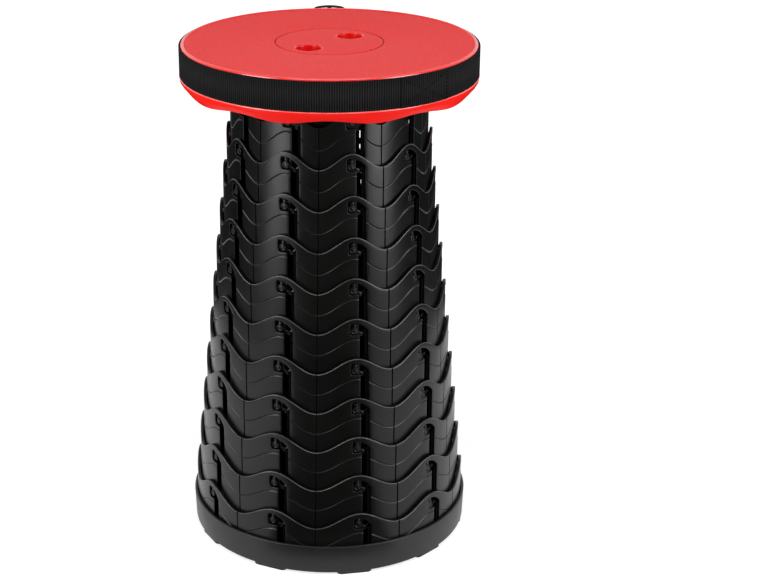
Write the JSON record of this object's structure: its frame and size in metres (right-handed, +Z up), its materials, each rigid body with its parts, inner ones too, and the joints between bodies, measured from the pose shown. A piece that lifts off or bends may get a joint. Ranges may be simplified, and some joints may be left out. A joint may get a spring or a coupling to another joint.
{
  "type": "telescoping camping stool",
  "caption": "Round stool whose nested wavy-edged rings telescope between a tray base and a flared seat, with hooked slots that lock each ring, finger cups in the seat and a webbing strap.",
  "frame": {"origin": "on the floor, under the middle of the base", "axes": "+Z up along the tower, -Y towards the front of the picture, +X to its right"},
  "size_m": [0.256, 0.2596, 0.4465],
  "materials": {
    "ring_plastic": "satin",
    "base_plastic": "satin",
    "seat_plastic": "fine grained",
    "cap_plastic": "fine grained with glossy cups",
    "webbing": "ribbed weave",
    "slider_plastic": "satin"
  },
  "bodies": {
    "base": {"base_tray": "base_plastic", "tier_ring_11": "ring_plastic"},
    "tier_10": {"tier_ring_10": "ring_plastic"},
    "tier_09": {"tier_ring_09": "ring_plastic"},
    "tier_08": {"tier_ring_08": "ring_plastic"},
    "tier_07": {"tier_ring_07": "ring_plastic"},
    "tier_06": {"tier_ring_06": "ring_plastic"},
    "tier_05": {"tier_ring_05": "ring_plastic"},
    "tier_04": {"tier_ring_04": "ring_plastic"},
    "tier_03": {"tier_ring_03": "ring_plastic"},
    "tier_02": {"tier_ring_02": "ring_plastic"},
    "tier_01": {"tier_ring_01": "ring_plastic"},
    "seat": {"seat_shell": "seat_plastic", "seat_collar": "ring_plastic", "centre_cap": "cap_plastic", "strap_band": "webbing", "strap_slider": "slider_plastic"}
  },
  "joints": [
    {"name": "tier_10_slide", "type": "slide", "parent": "base", "child": "tier_10", "axis": [0, 0, 1], "range_m": [-0.0345, 0]},
    {"name": "tier_09_slide", "type": "slide", "parent": "tier_10", "child": "tier_09", "axis": [0, 0, 1], "range_m": [-0.0345, 0]},
    {"name": "tier_08_slide", "type": "slide", "parent": "tier_09", "child": "tier_08", "axis": [0, 0, 1], "range_m": [-0.0345, 0]},
    {"name": "tier_07_slide", "type": "slide", "parent": "tier_08", "child": "tier_07", "axis": [0, 0, 1], "range_m": [-0.0345, 0]},
    {"name": "tier_06_slide", "type": "slide", "parent": "tier_07", "child": "tier_06", "axis": [0, 0, 1], "range_m": [-0.0345, 0]},
    {"name": "tier_05_slide", "type": "slide", "parent": "tier_06", "child": "tier_05", "axis": [0, 0, 1], "range_m": [-0.0345, 0]},
    {"name": "tier_04_slide", "type": "slide", "parent": "tier_05", "child": "tier_04", "axis": [0, 0, 1], "range_m": [-0.0345, 0]},
    {"name": "tier_03_slide", "type": "slide", "parent": "tier_04", "child": "tier_03", "axis": [0, 0, 1], "range_m": [-0.0345, 0]},
    {"name": "tier_02_slide", "type": "slide", "parent": "tier_03", "child": "tier_02", "axis": [0, 0, 1], "range_m": [-0.0345, 0]},
    {"name": "tier_01_slide", "type": "slide", "parent": "tier_02", "child": "tier_01", "axis": [0, 0, 1], "range_m": [-0.0345, 0]},
    {"name": "seat_slide", "type": "slide", "parent": "tier_01", "child": "seat", "axis": [0, 0, 1], "range_m": [-0.0345, 0]}
  ],
  "couplings": [
    {"joint": "tier_09_slide", "follows": "tier_10_slide", "ratio": 1},
    {"joint": "tier_08_slide", "follows": "tier_10_slide", "ratio": 1},
    {"joint": "tier_07_slide", "follows": "tier_10_slide", "ratio": 1},
    {"joint": "tier_06_slide", "follows": "tier_10_slide", "ratio": 1},
    {"joint": "tier_05_slide", "follows": "tier_10_slide", "ratio": 1},
    {"joint": "tier_04_slide", "follows": "tier_10_slide", "ratio": 1},
    {"joint": "tier_03_slide", "follows": "tier_10_slide", "ratio": 1},
    {"joint": "tier_02_slide", "follows": "tier_10_slide", "ratio": 1},
    {"joint": "tier_01_slide", "follows": "tier_10_slide", "ratio": 1},
    {"joint": "seat_slide", "follows": "tier_10_slide", "ratio": 1}
  ]
}
